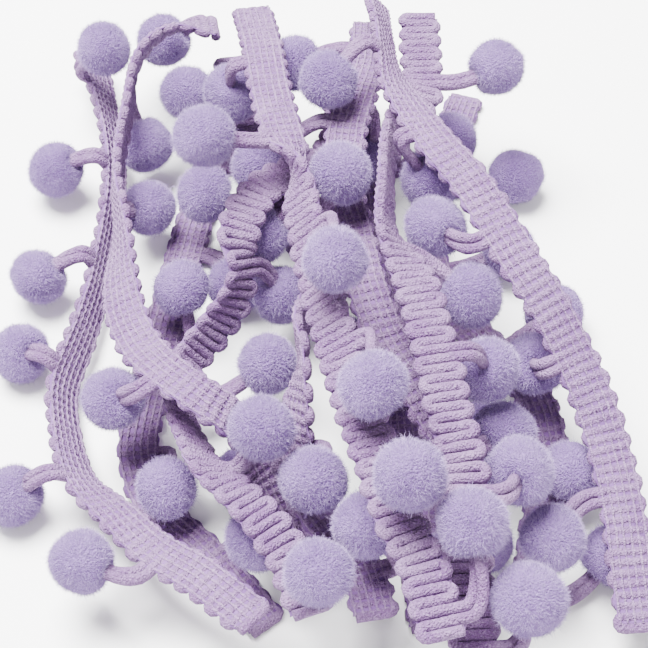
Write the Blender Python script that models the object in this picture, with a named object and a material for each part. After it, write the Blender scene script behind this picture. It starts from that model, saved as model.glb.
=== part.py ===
"""Pompom fringe trim, lying in a loose heap on a flat surface.

The trim is a flat gimp braid with scalloped edges. A doubled cord loop leaves one edge at every seventh
scallop and carries a round pompom. Each run of trim in the heap is one closed body: the braid, its
loops and its pompoms are one skin.

Tables are in millimetres and degrees. What is built is in metres, and +Z is up.
"""

import math
from collections import namedtuple

import bpy
import numpy as np

MM = 0.001

# ---- the trim, mm
BRAID_WIDTH = 10.0       # over the scallops
BRAID_THICK = 2.1
SCALLOP_PITCH = 4.2      # one lobe on each edge
SCALLOP_DEPTH = 1.0
LOBES_PER_POMPOM = 7
POMPOM_PITCH = SCALLOP_PITCH * LOBES_PER_POMPOM
POMPOM_RADIUS = 6.7
POMPOM_SIDES = 8
LOOP_WIDTH = 4.4         # the two cords of a loop, side by side
LOOP_THICK = 2.2
LOOP_REACH = 13.0        # from the braid's edge to the pompom's centre
LOOP_BEND = 3.2          # a loop runs this far straight out of the edge before it turns
CLEAR = 0.45             # least gap between neighbours
FLAT_SPOT = 0.35         # a ball on the floor is pressed flat this far
END_ROOM = 3.0           # least braid beyond a pompom's root
END_TRIM = 0.3           # a run is cut this far inside its last row
PLAIN_STEP = 5.5         # between the sections of a run that is not scalloped
LOOK = 1.5               # how far ahead and behind a section the way of the braid is read
BEAD_STEP = 2.0
BEAD_SHARES = (-0.82, -0.41, 0, 0.41, 0.82)

LAVENDER = (0.56, 0.46, 0.66)

# ---- profile of a pompom along its cord: place from the centre and ring radius, as shares of the radius
Ring = namedtuple("Ring", "along radius")
FULL_BALL = (
    Ring(-0.88, 0.48),
    Ring(-0.54, 0.87),
    Ring(0.02, 1.04),
    Ring(0.62, 0.82),
    Ring(0.97, 0.34),
)
PLAIN_BALL = (
    Ring(-0.86, 0.52),
    Ring(-0.05, 1.05),
    Ring(0.84, 0.58),
)
DIMPLE = -0.80           # the loop meets the ball here, inside its first ring

# ---- the route of each pass
# x, y, z: the middle of the braid. roll: 0 lies with its face up and the fringe on its left, 90 stands
# with the fringe up, 180 lies with its back up and the fringe on its right, seen along the route.
Row = namedtuple("Row", "x y z roll")
# at: which pompom of the pass, counted from 0. x, y, z: where its centre lies.
Ball = namedtuple("Ball", "at x y z")
# first: route length before the first pompom. scalloped: whether its edges show.
Pass = namedtuple("Pass", "name first scalloped rows balls")

PASSES = (
    Pass("trim_left", 10.5, True, (
        Row(-58, 96, 9, 150),
        Row(-54, 82, 9, 130),
        Row(-50, 64, 8, 120),
        Row(-49, 49, 8, 115),
        Row(-51, 22, 7, 115),
        Row(-53, 10, 7, 120),
        Row(-56, -5, 7, 125),
        Row(-55, -14, 7, 130),
        Row(-50, -30, 10, 140),
        Row(-42, -40, 13, 160),
        Row(-33, -50, 15, 175),
        Row(-24, -57, 17, 180),
        Row(-13, -67, 18, 180),
    ), (
        Ball(0, -52, 82, 24),
        Ball(1, -63, 57, 9),
        Ball(2, -64, 25, 8),
        Ball(3, -66, 5, 6.5),
        Ball(4, -64, -32, 6.5),
        Ball(5, -47, -53, 16),
    )),
    Pass("trim_left_inner", 3, True, (
        Row(-24, 86, 26, 190),
        Row(-36, 84, 28, 230),
        Row(-43, 76, 27, 255),
        Row(-45, 59, 25, 270),
        Row(-46, 40, 24, 265),
        Row(-44, 26, 24, 250),
        Row(-43, 10, 25, 215),
        Row(-41, 0, 26, 200),
        Row(-37, -10, 28, 190),
        Row(-31, -18, 30, 180),
        Row(-24, -24, 30, 180),
        Row(-17, -27, 25, 185),
        Row(-12, -30, 15, 190),
        Row(-8, -36, 8, 185),
        Row(-5, -44, 5, 180),
        Row(-2, -54, 4, 180),
    ), (
        Ball(0, -39, 92, 17),
        Ball(1, -42, 62, 12),
        Ball(2, -40, 43, 11),
        Ball(4, -43, -18, 21),
        Ball(5, -13, -48, 16),
    )),
    Pass("trim_curl", 26.5, True, (
        Row(2, 84, 20, 0),
        Row(4, 66, 25, 0),
        Row(4, 50, 28, 0),
        Row(-1, 40, 29, 0),
        Row(-8, 34, 32, 0),
        Row(-14, 27, 34, 0),
        Row(-17, 20, 34, -5),
        Row(-18, 14, 33, -30),
        Row(-17, 9, 29, -60),
        Row(-19, 5, 24, -70),
        Row(-23, 2, 19, -65),
        Row(-28, -3, 15, -55),
        Row(-30, -11, 15, -50),
        Row(-29, -20, 18, -50),
        Row(-26, -29, 21, -45),
        Row(-22, -38, 25, -35),
        Row(-16, -45, 27, -20),
        Row(-10, -52, 26, -5),
        Row(-6, -58, 24, 0),
        Row(-2, -68, 22, 0),
    ), (
        Ball(1, -14, 23, 25),
        Ball(2, -9, 14, 15),
        Ball(3, -12, -4, 14),
        Ball(4, -12, -34, 34),
        Ball(5, -1, -66, 34),
    )),
    Pass("trim_crest", 28, True, (
        Row(-17, 88, 31, 180),
        Row(-14, 68, 38, 180),
        Row(-11, 46, 42, 180),
        Row(-8, 32, 44, 165),
        Row(-6, 24, 45, 95),
        Row(-5, 16, 46, 50),
        Row(-3, 2, 46, 45),
        Row(0, -13, 46, 40),
        Row(6, -36, 46, 15),
        Row(10, -50, 46, 0),
        Row(13, -61, 46, 0),
        Row(17, -70, 45, 0),
        Row(21, -85, 43, 0),
    ), (
        Ball(0, -21, 63, 28),
        Ball(1, -25, 30, 48),
        Ball(2, 2, -11, 57),
        Ball(3, 9, -39, 55),
        Ball(4, 15, -60, 57),
        Ball(5, 26, -66, 51),
    )),
    Pass("trim_centre", 12.5, True, (
        Row(11, 88, 26, 180),
        Row(10, 70, 31, 180),
        Row(7, 56, 33, 180),
        Row(5, 46, 34, 180),
        Row(4, 27, 34, 180),
        Row(6, 16, 34, 180),
        Row(9, 1, 33, 180),
        Row(13, -10, 30, 180),
        Row(18, -18, 28, 180),
        Row(23, -27, 22, 150),
        Row(26, -37, 17, 60),
        Row(27, -47, 14, 10),
        Row(27, -65, 11, 0),
    ), (
        Ball(1, -14, 43, 25),
        Ball(3, 5, -4, 20),
        Ball(4, 36, -27, 22),
        Ball(5, 23, -59, 25),
    )),
    Pass("trim_upper", 22, True, (
        Row(22, 82, 35.6, 360),
        Row(22, 67, 34.6, 360),
        Row(22, 57, 34.6, 355),
        Row(18, 47, 36.7, 325),
        Row(14, 35, 39, 290),
        Row(13, 23, 41, 285),
        Row(13, 9, 43, 300),
        Row(16, 0, 44, 335),
        Row(18, -7, 45, 355),
        Row(21, -22, 45, 360),
        Row(24, -39, 43, 360),
        Row(26, -49, 41, 360),
        Row(26, -61, 37, 360),
        Row(27, -85, 32, 360),
    ), (
        Ball(0, 39, 64, 35),
        Ball(2, 30, -1, 34),
        Ball(3, 32, -20, 34),
        Ball(4, 37, -44, 34),
        Ball(5, 36, -76, 42),
    )),
    Pass("trim_right", 28.5, True, (
        Row(12, 88, 33, 130),
        Row(13, 74, 38, 120),
        Row(14, 60, 41, 125),
        Row(16, 48, 44, 150),
        Row(24, 28, 47, 180),
        Row(30, 19, 46, 185),
        Row(40, 1, 41, 190),
        Row(45, -6, 37, 190),
        Row(50, -14, 31, 190),
        Row(54, -22, 26, 190),
        Row(57, -31, 21, 185),
        Row(59, -42, 17, 180),
        Row(60, -53, 13, 180),
        Row(61, -64, 9, 180),
    ), (
        Ball(0, 1, 53, 42),
        Ball(1, 23, 30, 35),
        Ball(2, 23, 14, 38),
        Ball(3, 44, -8, 20),
        Ball(4, 44, -51, 21),
    )),
    Pass("trim_under_left", 18.6, False, (
        Row(-11, -59, 1, 180),
        Row(-24, -43, 1, 180),
        Row(-34, -33, 2, 180),
        Row(-39, -21, 4, 180),
        Row(-38, -6, 5, 180),
        Row(-34, 24, 3, 180),
        Row(-28, 60, 1, 180),
        Row(-22, 88, 1, 180),
    ), (
        Ball(1, -32, -33, 11),
        Ball(2, -31, 16, 15),
        Ball(3, -20, 24, 6.5),
    )),
    Pass("trim_under_middle", 11, True, (
        Row(10, -65, 14, 180),
        Row(7, -52, 13, 180),
        Row(-2, -40, 15, 180),
        Row(-6, -31, 21, 165),
        Row(-5, -24, 29, 130),
        Row(-4, -17, 34, 95),
        Row(-5, -10, 34, 85),
        Row(-4, -4, 32, 80),
        Row(0, 4, 28, 60),
        Row(1, 14, 23, 20),
        Row(-5, 28, 18, 0),
        Row(-13, 45, 15, 0),
        Row(-19, 65, 15, 0),
        Row(-22, 86, 16, 0),
    ), (
        Ball(0, 8, -52, 28),
        Ball(1, -2, -42, 28),
        Ball(4, -27, 42, 17),
        Ball(5, -32, 70, 21),
    )),
    Pass("trim_under_right", 8.5, False, (
        Row(40, -60, 1, 180),
        Row(44, -40, 2, 180),
        Row(47, -22, 6, 180),
        Row(43, -4, 8, 180),
        Row(32, 12, 6, 180),
        Row(24, 35, 3, 180),
        Row(26.5, 60, 1, 180),
        Row(35, 88, 1, 180),
    ), (
        Ball(0, 58, -46, 6.5),
        Ball(1, 50, -30, 13),
        Ball(4, 45, 57, 6.5),
    )),
    Pass("trim_floor", 6, False, (
        Row(21, -60, 1, 180),
        Row(18, -10, 1, 180),
        Row(14, 30, 1, 180),
        Row(8, 88, 1, 180),
    ), (
        Ball(4, 30, 66, 10),
    )),
)

# ---- pompoms left off: each would have to be crushed between the runs round its root
LEFT_OFF = (
    ("trim_left_inner", 3),
    ("trim_under_middle", 2),
)
# ---- directions in which a pompom that has no row of its own may hang, in order of choice
LEANS = (0, 18, -18, 36, -36, 54, -54, 72, -72, 90, -90, 108, -108, 126, -126, 150, -150, 180)
LIFTS = range(-85, 90, 5)
REACHES = (1.0, 0.9, 1.1, 0.8, 0.7)

Station = namedtuple("Station", "at point along fringe face lobe_fringe lobe_plain root")


def unit(v):
    """Return the vector v at length 1."""
    return v / np.linalg.norm(v)


def spline(rows, samples=16):
    """Return points and rolls on a smooth line through the rows, close together."""
    knots = np.array(rows, float)
    first = 2 * knots[0] - knots[1]
    last = 2 * knots[-1] - knots[-2]
    knots = np.vstack((first, knots, last))
    out = []
    for i in range(1, len(knots) - 2):
        p = knots[i - 1:i + 3]
        gaps = np.linalg.norm(np.diff(p[:, :3], axis=0), axis=1) ** 0.5
        t = np.concatenate(([0.0], np.cumsum(gaps)))
        for k in range(samples):
            x = t[1] + (t[2] - t[1]) * k / samples
            a = [p[j] + (p[j + 1] - p[j]) * (x - t[j]) / (t[j + 1] - t[j]) for j in range(3)]
            b = [a[j] + (a[j + 1] - a[j]) * (x - t[j]) / (t[j + 2] - t[j]) for j in range(2)]
            out.append(b[0] + (b[1] - b[0]) * (x - t[1]) / (t[2] - t[1]))
    out.append(knots[-2])
    return np.array(out)


def station_marks(length, first, scalloped):
    """Return (distance, lobe on the fringe edge, lobe on the plain edge, pompom number) along a pass."""
    balls = int((length - first - END_ROOM) / POMPOM_PITCH) + 1
    marks = []
    half = SCALLOP_PITCH / 2
    if scalloped:
        count = int((length - END_TRIM) / half)
        shift = first % half
        roots = {round((first + n * POMPOM_PITCH - shift) / half): n for n in range(balls)}
        for k in range(count + 1):
            lobe = (k - min(roots)) % 2 == 0 or k - 1 in roots
            marks.append((shift + k * half, lobe, (k - min(roots)) % 2 == 1, roots.get(k)))
        return marks
    for n in range(balls):
        root = first + n * POMPOM_PITCH
        start = END_TRIM if n == 0 else root - POMPOM_PITCH + half
        steps = max(1, round((root - start) / PLAIN_STEP))
        for k in range(steps):
            if k or n == 0:
                marks.append((start + (root - start) * k / steps, True, True, None))
        marks.append((root, True, True, n))
        marks.append((root + half, True, True, None))
    start = marks[-1][0]
    steps = max(1, round((length - start) / PLAIN_STEP))
    for k in range(1, steps + 1):
        marks.append((start + (length - END_TRIM - start) * k / steps, True, True, None))
    return marks


def walk(trim_pass):
    """Return the stations of a pass: where the braid is, and which way it goes and faces, at each."""
    line = spline(trim_pass.rows)
    steps = np.linalg.norm(np.diff(line[:, :3], axis=0), axis=1)
    reach = np.concatenate(([0.0], np.cumsum(steps)))
    out = []
    for at, lobe_fringe, lobe_plain, root in station_marks(reach[-1], trim_pass.first, trim_pass.scalloped):
        point = np.array([np.interp(at, reach, line[:, c]) for c in range(3)])
        roll = math.radians(np.interp(at, reach, line[:, 3]))
        ahead = np.array([np.interp(at + LOOK, reach, line[:, c]) for c in range(3)])
        behind = np.array([np.interp(at - LOOK, reach, line[:, c]) for c in range(3)])
        along = unit(ahead - behind)
        left = unit(np.cross((0, 0, 1), along))
        up = np.cross(along, left)
        fringe = math.cos(roll) * left + math.sin(roll) * up
        face = math.cos(roll) * up - math.sin(roll) * left
        out.append(Station(at, point, along, fringe, face, lobe_fringe, lobe_plain, root))
    return out


def half_width(lobe):
    """Return how far the braid reaches to one side, at a lobe or between two."""
    return BRAID_WIDTH / 2 - (0 if lobe else SCALLOP_DEPTH)


def section(s):
    """Return the four corners of the braid at a station: fringe edge up, down, plain edge down, up."""
    out = s.fringe * half_width(s.lobe_fringe)
    back = -s.fringe * half_width(s.lobe_plain)
    lift = s.face * BRAID_THICK / 2
    return [s.point + out + lift, s.point + out - lift, s.point + back - lift, s.point + back + lift]


def root_of(a, b):
    """Return the point on the fringe edge between stations a and b, and the way out from it."""
    out = unit(a.fringe + b.fringe)
    return (a.point + b.point) / 2 + out * BRAID_WIDTH / 2, out


def loop_line(root, out, centre, steps=3):
    """Return points and directions along a loop from the braid's edge to the dimple of its pompom."""
    bend = root + out * LOOP_BEND
    axis = unit(centre - bend)
    end = centre + axis * DIMPLE * POMPOM_RADIUS
    points = []
    for k in range(steps + 1):
        t = k / steps
        points.append((1 - t) ** 2 * root + 2 * t * (1 - t) * bend + t * t * end)
    return points, axis


class Crowd:
    """What is already in place, as round beads, for finding where the next pompom fits."""

    def __init__(self):
        self.points = np.zeros((0, 3))
        self.radii = np.zeros(0)
        self.braids = 0

    def add(self, points, radius):
        """Enter points as beads of one radius."""
        self.points = np.vstack((self.points, np.array(points).reshape(-1, 3)))
        self.radii = np.append(self.radii, np.full(len(points), radius))

    def gap(self, point, radius, start=0):
        """Return the least gap from a ball at the point to any bead numbered from `start`."""
        far = np.linalg.norm(self.points[start:] - point, axis=1) - self.radii[start:] - radius
        return far.min(initial=99.0)


def braid_beads(stations):
    """Return beads along the braid, five across."""
    beads = []
    for a, b in zip(stations, stations[1:]):
        steps = max(1, round((b.at - a.at) / BEAD_STEP))
        for k in range(steps):
            t = k / steps
            point = a.point * (1 - t) + b.point * t
            fringe = a.fringe * (1 - t) + b.fringe * t
            for share in BEAD_SHARES:
                beads.append(point + fringe * share * BRAID_WIDTH / 2)
    return beads


def fits(crowd, root, out, centre):
    """Tell whether a pompom and its loop stand clear of all else."""
    if centre[2] < POMPOM_RADIUS - FLAT_SPOT:
        return False
    if crowd.gap(centre, POMPOM_RADIUS) < CLEAR:
        return False
    points, _ = loop_line(root, out, centre, 6)
    if points[3][2] < 1.5 or points[5][2] < 1.2:
        return False
    for k in (3, 4):
        if crowd.gap(points[k], LOOP_THICK / 2) < CLEAR / 2:
            return False
    for k in (1, 2, 3):
        if crowd.gap(points[k], LOOP_WIDTH / 2, crowd.braids) < 0:
            return False
    return True


def hang(crowd, a, b):
    """Return the lowest free place for a pompom that hangs between stations a and b, or None."""
    root, out = root_of(a, b)
    flat = np.array([out[0], out[1], 0])
    if np.linalg.norm(flat) < 0.35:
        flat = np.cross(a.along, (0, 0, 1))
    flat = unit(flat)
    side = np.cross((0, 0, 1), flat)
    best = None
    for reach in REACHES:
        span = LOOP_REACH * reach
        for rank, lean in enumerate(LEANS):
            turn = math.radians(lean)
            level = math.cos(turn) * flat + math.sin(turn) * side
            lifts = [math.radians(x) for x in LIFTS]
            rest = (POMPOM_RADIUS - FLAT_SPOT / 2 - root[2]) / span
            if abs(rest) < 0.98:
                lifts.append(math.asin(rest))
            for lift in lifts:
                centre = root + span * (math.cos(lift) * level + math.sin(lift) * np.array([0, 0, 1]))
                cost = centre[2] + 0.35 * rank
                if best and cost >= best[0]:
                    continue
                if fits(crowd, root, out, centre):
                    best = (cost, centre)
        if best:
            return best[1]
    return None


def arrange():
    """Return, for each pass, its stations and the centre of each of its pompoms."""
    crowd = Crowd()
    routes = {p.name: walk(p) for p in PASSES}
    centres = {p.name: {} for p in PASSES}
    for p in PASSES:
        crowd.add(braid_beads(routes[p.name]), BRAID_THICK / 2 + 0.1)
    crowd.braids = len(crowd.radii)
    ranks = []
    for number, p in enumerate(PASSES):
        chosen = {ball.at: np.array([ball.x, ball.y, ball.z], float) for ball in p.balls}
        stations = routes[p.name]
        for k, s in enumerate(stations[:-1]):
            if s.root is None:
                continue
            if (p.name, s.root) in LEFT_OFF:
                continue
            if s.root in chosen:
                place(crowd, centres[p.name], stations, k, chosen[s.root])
            else:
                ranks.append((s.point[2], number, k))
    missing = []
    for _, number, k in sorted(ranks):
        p = PASSES[number]
        stations = routes[p.name]
        centre = hang(crowd, stations[k], stations[k + 1])
        if centre is None:
            missing.append((p.name, stations[k].root))
            continue
        place(crowd, centres[p.name], stations, k, centre)
    return routes, centres, missing


def place(crowd, centres, stations, k, centre):
    """Enter a pompom and its loop."""
    root, out = root_of(stations[k], stations[k + 1])
    crowd.add([centre], POMPOM_RADIUS)
    points, _ = loop_line(root, out, centre, 8)
    crowd.add(points[1:], LOOP_WIDTH / 2)
    centres[stations[k].root] = centre


# ---- solids
class Skin:
    """The vertices and faces of one closed body while it is built."""

    def __init__(self):
        self.verts = []
        self.faces = []

    def ring(self, points):
        """Add points and return their numbers."""
        start = len(self.verts)
        self.verts.extend(points)
        return list(range(start, start + len(points)))

    def band(self, lower, upper):
        """Join two rings of equal length with quads."""
        count = len(lower)
        for i in range(count):
            j = (i + 1) % count
            self.faces.append((lower[i], upper[i], upper[j], lower[j]))


def add_pompom(skin, a, b, corners, centre, rings):
    """Grow a loop and its pompom out of the fringe edge between stations a and b.

    corners are the four vertices of the edge there, in order round the way out.
    """
    root, out = root_of(a, b)
    points, axis = loop_line(root, out, centre)
    last = corners
    across = unit(a.along + b.along)
    for k, point in enumerate(points[1:], start=1):
        ahead = unit(points[min(k + 1, len(points) - 1)] - points[k - 1])
        wide = unit(across - ahead * np.dot(across, ahead))
        thick = np.cross(wide, ahead)
        half = wide * LOOP_WIDTH / 2
        lift = thick * LOOP_THICK / 2
        square = [point - half + lift, point - half - lift, point + half - lift, point + half + lift]
        ring = skin.ring(square)
        skin.band(last, ring)
        last = ring
    side = unit(across - axis * np.dot(across, axis))
    up = np.cross(side, axis)
    turn = 2 * math.pi / POMPOM_SIDES
    previous = None
    for shape in rings:
        middle = centre + axis * shape.along * POMPOM_RADIUS
        radius = shape.radius * POMPOM_RADIUS
        ring = []
        for k in range(POMPOM_SIDES):
            angle = turn * (k + 3)
            ring.append(middle + radius * (math.cos(angle) * side + math.sin(angle) * up))
        ring = skin.ring(ring)
        if previous is None:
            for k in range(4):
                before, here, after = ring[2 * k - 1], ring[2 * k], ring[2 * k + 1]
                skin.faces.append((last[k], before, here))
                skin.faces.append((last[k], here, after))
                skin.faces.append((last[k], after, last[(k + 1) % 4]))
        else:
            skin.band(previous, ring)
        previous = ring
    skin.faces.append(tuple(reversed(previous)))


def pass_skin(trim_pass, stations, centres):
    """Return the one closed skin of a pass."""
    skin = Skin()
    rings = FULL_BALL if trim_pass.scalloped else PLAIN_BALL
    last = None
    for k, s in enumerate(stations):
        now = skin.ring(section(s))
        if last is None:
            skin.faces.append(tuple(now))
        else:
            before = stations[k - 1]
            for i in range(4):
                j = (i + 1) % 4
                if i == 0 and before.root in centres:
                    corners = (last[0], last[1], now[1], now[0])
                    add_pompom(skin, before, s, corners, centres[before.root], rings)
                else:
                    skin.faces.append((last[i], now[i], now[j], last[j]))
        last = now
    skin.faces.append(tuple(reversed(last)))
    return skin


def fabric(name, colour):
    """Return a matt fabric material."""
    material = bpy.data.materials.new(name)
    material.use_nodes = True
    shader = material.node_tree.nodes["Principled BSDF"]
    shader.inputs["Base Color"].default_value = (*colour, 1.0)
    shader.inputs["Roughness"].default_value = 0.9
    shader.inputs["Metallic"].default_value = 0.0
    return material


def clear_scene():
    """Remove whatever is in the scene."""
    for obj in list(bpy.data.objects):
        bpy.data.objects.remove(obj, do_unlink=True)


def main():
    """Build every pass of the heap, centred over the origin and resting on z = 0."""
    clear_scene()
    routes, centres, _ = arrange()
    skins = {p.name: pass_skin(p, routes[p.name], centres[p.name]) for p in PASSES}
    for skin in skins.values():
        skin.verts = np.array(skin.verts)
        low = skin.verts[:, 2] < FLAT_SPOT
        skin.verts[low, 2] = 0.0
    everything = np.vstack([skin.verts for skin in skins.values()])
    low, high = everything.min(0), everything.max(0)
    middle = np.array([(low[0] + high[0]) / 2, (low[1] + high[1]) / 2, low[2]])
    for p in PASSES:
        skin = skins[p.name]
        mesh = bpy.data.meshes.new(p.name)
        mesh.from_pydata([tuple(v) for v in (skin.verts - middle) * MM], [], skin.faces)
        mesh.validate()
        mesh.materials.append(fabric(p.name, LAVENDER))
        obj = bpy.data.objects.new(p.name, mesh)
        bpy.context.scene.collection.objects.link(obj)


main()
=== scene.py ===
"""Pompom fringe trim in a loose heap: each run's braid, loops and pompoms, made and dressed in yarn."""

import logging
import math
from dataclasses import dataclass
from enum import Enum
from typing import Iterable, NamedTuple, Optional, Union

import bpy
import numpy as np
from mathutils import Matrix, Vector


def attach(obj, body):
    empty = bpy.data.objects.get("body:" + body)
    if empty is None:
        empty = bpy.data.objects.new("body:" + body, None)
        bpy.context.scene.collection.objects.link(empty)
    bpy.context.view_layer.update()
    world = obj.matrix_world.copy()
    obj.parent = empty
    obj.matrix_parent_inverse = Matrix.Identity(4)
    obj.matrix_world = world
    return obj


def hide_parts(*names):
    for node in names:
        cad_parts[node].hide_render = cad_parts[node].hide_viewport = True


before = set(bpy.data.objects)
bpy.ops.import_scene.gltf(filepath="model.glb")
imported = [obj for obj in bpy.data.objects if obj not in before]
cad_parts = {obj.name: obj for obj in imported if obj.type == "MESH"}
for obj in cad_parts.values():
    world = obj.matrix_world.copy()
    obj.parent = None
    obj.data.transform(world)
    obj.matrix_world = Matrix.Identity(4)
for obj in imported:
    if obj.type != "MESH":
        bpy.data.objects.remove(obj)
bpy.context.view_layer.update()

MM = 0.001
FULL_TURN = 6.28   # radians, near enough for a random wave
GOLDEN_TURN = math.pi * (1 + 5 ** 0.5)   # spreads points evenly over a ball
TIP = "tip"   # the attribute that is 1 at a fibre's tip and 0 at its root
log = logging.getLogger("pompom_trim")


class Row(NamedTuple):
    """One row of a run's route: the middle of the braid and how far it is rolled over, in degrees."""

    x: float
    y: float
    z: float
    roll: float


class Ball(NamedTuple):
    """Where the pompom numbered `at` of a run lies."""

    at: int
    x: float
    y: float
    z: float


class Pass(NamedTuple):
    """One run of trim: its name, where its first pompom is rooted, its route and its pompoms."""

    name: str
    first: float
    scalloped: bool
    rows: tuple[Row, ...]
    balls: tuple[Ball, ...]


class Detail(Enum):
    """How closely a run is worked: as one that shows, or as one that lies under the others."""

    SHOWN = "shown"
    UNDER = "under"


class Draw(Enum):
    """What is added to a run's seed for each kind of random draws."""

    LINE = 0
    CORD = 1
    THREADS = 2
    FIBRES = 77


class Fineness(NamedTuple):
    """How many points, sides and fibres a run's pieces are made with."""

    turn_points: int
    straight_points: int
    cord_sides: int
    thread_steps: int
    ball_splits: int
    fibres: int


FINENESS = {
    Detail.SHOWN: Fineness(6, 15, 8, 4, 4, 9500),
    Detail.UNDER: Fineness(4, 6, 6, 3, 3, 4500),
}


@dataclass(frozen=True)
class TrimSizes:
    """Sizes of the trim, in millimetres, as in the solids."""

    braid_width: float = 10.0
    braid_thick: float = 2.1
    scallop_pitch: float = 4.2
    lobes_per_pompom: int = 7
    pompom_radius: float = 6.7
    loop_width: float = 4.4
    loop_thick: float = 2.2
    loop_reach: float = 13.0
    loop_bend: float = 3.2
    clear: float = 0.45
    flat_spot: float = 0.35
    dimple: float = -0.80
    end_room: float = 3.0
    end_trim: float = 0.3
    plain_step: float = 5.5
    look: float = 1.5

    @property
    def pompom_pitch(self) -> float:
        """Braid length from one pompom to the next."""
        return self.scallop_pitch * self.lobes_per_pompom

    @property
    def lobe_step(self) -> float:
        """Braid length from one lobe to the next, which is on the other edge."""
        return self.scallop_pitch / 2


SIZES = TrimSizes()

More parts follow.
